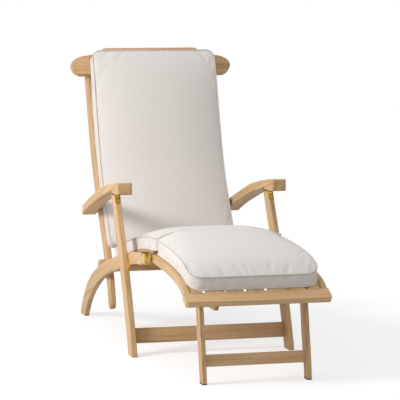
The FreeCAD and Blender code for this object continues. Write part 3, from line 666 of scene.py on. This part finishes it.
def piping(name, points, closed, material):
    # A cord sewn into a seam: a round tube along the seam line, covered in cloth cut on the bias
    curve = bpy.data.curves.new(name, "CURVE")
    curve.dimensions = "3D"
    line = curve.splines.new("POLY")
    line.points.add(len(points) - 1)
    for point, spot in zip(line.points, points):
        point.co = (*spot, 1)
    line.use_cyclic_u = closed
    curve.use_fill_caps = not closed
    curve.bevel_depth = PIPING_R
    curve.bevel_resolution = PIPING_ROUNDNESS
    holder = bpy.data.objects.new(name, curve)
    bpy.context.collection.objects.link(holder)
    tube = holder.evaluated_get(bpy.context.evaluated_depsgraph_get())
    mesh = bpy.data.meshes.new_from_object(tube)
    bpy.data.objects.remove(holder)
    cord = bpy.data.objects.new(name, mesh)
    bpy.context.collection.objects.link(cord)
    layer = mesh.uv_layers.new(name=CLOTH_MAP)
    for loop in mesh.loops:
        co = mesh.vertices[loop.vertex_index].co
        layer.data[loop.index].uv = (co.x + co.y, co.z + co.x * BIAS)
    for face in mesh.polygons:
        face.use_smooth = True
    mesh.materials.clear()
    mesh.materials.append(material)
    return cord


def boxed_cushion(name, rows, half, radii, cap, dome, crown=0.0, meets=0, arch=0.0, nose=0.0,
                  slack=False):
    # rows are both faces on the middle plane, and radii those of the corners at the first and last
    # end. The filling lifts the middle by cap, dome is how squarely it does so, and crown is how
    # much lower the side seams lie. meets is the end, -1 or 1, that meets the next section: there
    # the top rises by arch instead of coming down to a seam, and it has no cord. The other end is
    # thinner by nose. The cloth of a slack cushion is drawn in a little, not blown up.
    length = sum((after[1] - before[1]).length for before, after in zip(rows, rows[1:]))
    width = 2 * half

    def rise(a, b):
        towards_next = a * meets > 0
        joined = (0.5 + meets * a) ** 2 if meets else 0
        filled = 1 - JOINED_LOSS * joined ** 2 if towards_next else fall(a, FIRM)
        lifted = cap * filled * fall(b, dome) + arch * joined * fall(b, FIRM)
        full = (1 if towards_next else fall(a, FIRM)) * fall(b, FIRM)
        thinned = nose * abs(2 * a) ** NOSE_POWER if a * meets < 0 else 0
        return lifted - crown * (1 - full) - thinned

    # A flat box of panels and band, one unit each way, takes the cloth's UV map
    bm = bmesh.new()
    bmesh.ops.create_grid(
        bm, x_segments=round(length / CELL), y_segments=round(width / CELL), size=0.5)
    made = bmesh.ops.extrude_face_region(bm, geom=bm.faces[:])
    upper = [g for g in made["geom"] if isinstance(g, bmesh.types.BMVert)]
    bmesh.ops.translate(bm, verts=upper, vec=(0, 0, 1))
    posts = [e for e in bm.edges if abs(e.verts[0].co.z - e.verts[1].co.z) > EDGE]
    bmesh.ops.subdivide_edges(bm, edges=posts, cuts=BAND_ROWS - 1, use_grid_fill=True)

    # Cut posts differ in their last digits from run to run, which is enough to change the folds
    for vert in bm.verts:
        vert.co = [round(part, BOX_DIGITS) for part in vert.co]
    settle_order(bm)
    uv = bm.loops.layers.uv.new(CLOTH_MAP)
    thick = (rows[STATIONS // 2][1] - rows[STATIONS // 2][0]).length
    for face in bm.faces:
        flat = abs(face.calc_center_median().z - 0.5) > EDGE
        for loop in face.loops:
            a, b, h = loop.vert.co
            if flat:
                loop[uv].uv = (a * length, b * width)
            else:
                loop[uv].uv = (a * length + b * width, h * thick)

    # The box is then laid between the rows. The seams are listed in order round the cushion, from
    # the end that meets the next section.
    places = [v.co.copy() for v in bm.verts]
    rims = {0: [], 1: []}
    caps = []
    for vert in bm.verts:
        a, b, h = vert.co
        on_edge = max(abs(a), abs(b)) > EDGE
        if on_edge and abs(h - 0.5) > EDGE:
            rims[round(h)].append((math.atan2(b, -a if meets > 0 else a), vert.index))
        caps.append(BAND_CAP if on_edge else FOLD_CAP if h > 0.5 else UNDER_CAP)
        x, y = round_corner(a * length, b * width, length, width, radii[a > 0])
        inner, outer = between(rows, 0.5 + x / length)
        vert.co = inner.lerp(outer, h * (1 + rise(a, b) / (outer - inner).length))
        vert.co.x = y
    bmesh.ops.recalc_face_normals(bm, faces=bm.faces)
    if bm.calc_volume(signed=True) < 0:
        bmesh.ops.reverse_faces(bm, faces=bm.faces)
    mesh = bpy.data.meshes.new(name)
    bm.to_mesh(mesh)
    bm.free()
    for face in mesh.polygons:
        face.use_smooth = True
    cushion = bpy.data.objects.new(name, mesh)
    bpy.context.collection.objects.link(cushion)

    seam = [index for rim in rims.values() for _, index in rim]
    cords = []
    # The upper cords take the darker canvas, which is painted shade along the front seam
    for rim, label, material in ((0, "lower", canvas), (1, "upper", piping_painted_shade)):
        around = [index for _, index in sorted(rims[rim])]
        is_open = bool(meets and rim)
        if is_open:
            around = [i for i in around
                      if places[i].x * meets < EDGE or abs(places[i].y) > EDGE]
        points = [mesh.vertices[index].co.copy() for index in around]
        cords.append(piping(f"{name}_piping_{label}", points, not is_open, material))
    swell(cushion, places, seam, caps, length, width, -1 if slack else 1)
    mesh.materials.append(canvas)
    smooth = cushion.modifiers.new("smooth", "SUBSURF")
    smooth.levels = smooth.render_levels = 1
    return cushion, cords


def lay_cushion(cushion, cords, node, body):
    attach(cushion, body)
    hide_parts(node)
    for cord in cords:
        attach(cord, body)


# Seat section. It lies on the seat's slats, between the stiles, and its canvas is a little slack.
# Its sides come down low to their seams, and at the front it meets the leg-rest section in a shared
# edge without a cord.
SEAT_HALF = 0.2208
SEAT_CORNERS = (0.020, 0.020)
SEAT_END = 0.004
SEAT_SWELL = 0.013
SEAT_DOME = 4
SEAT_CROWN = 0.019
SEAT_ARCH = 0.009

low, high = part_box("seat_cushion")
rows = profile("seat_cushion", Vector((0, low.y - MEET, LEVEL)),
               Vector((0, high.y - SEAT_END, LEVEL)))
seat_pad, seat_cords = boxed_cushion(
    "seat_pad", rows, SEAT_HALF, SEAT_CORNERS, SEAT_SWELL, SEAT_DOME, crown=SEAT_CROWN, meets=-1,
    arch=SEAT_ARCH, slack=True)
lay_cushion(seat_pad, seat_cords, "seat_cushion", "side_frame")

# Leg-rest section. It lies on the leg rest's slats and arches up to the hinge line, where it meets
# the seat section. Its front end has wide round corners and a thinner band.
REST_HALF = 0.2135
REST_CORNERS = (0.048, 0.016)
REST_END = 0.012
REST_SWELL = 0.008
REST_DOME = 3
REST_ARCH = 0.032
REST_NOSE = 0.0075

low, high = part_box("rest_cushion")
rows = profile("rest_cushion", Vector((0, low.y + REST_END, LEVEL)),
               Vector((0, high.y + MEET, LEVEL)))
rest_pad, rest_cords = boxed_cushion(
    "rest_pad", rows, REST_HALF, REST_CORNERS, REST_SWELL, REST_DOME, meets=1, arch=REST_ARCH,
    nose=REST_NOSE)
lay_cushion(rest_pad, rest_cords, "rest_cushion", "leg_rest")

# Back section. The longest cushion, which lies against the slats of the back, from the seat up to
# the crest rail. It is evenly domed, and its corners are a little rounder at the top.
BACK_HALF = 0.2330
BACK_CORNERS = (0.024, 0.030)
BACK_SWELL = 0.029
BACK_DOME = 2.3
BACK_FOOT_Y = 0.026
BACK_FOOT_Z = 0.005
BACK_HEAD_Y = 0.0265
BACK_HEAD_Z = 0.019

low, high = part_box("back_cushion")
rows = profile("back_cushion", Vector((0, low.y + BACK_FOOT_Y, low.z + BACK_FOOT_Z)),
               Vector((0, high.y - BACK_HEAD_Y, high.z - BACK_HEAD_Z)))
back_pad, back_cords = boxed_cushion(
    "back_pad", rows, BACK_HALF, BACK_CORNERS, BACK_SWELL, BACK_DOME)
lay_cushion(back_pad, back_cords, "back_cushion", "back")

low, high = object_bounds()
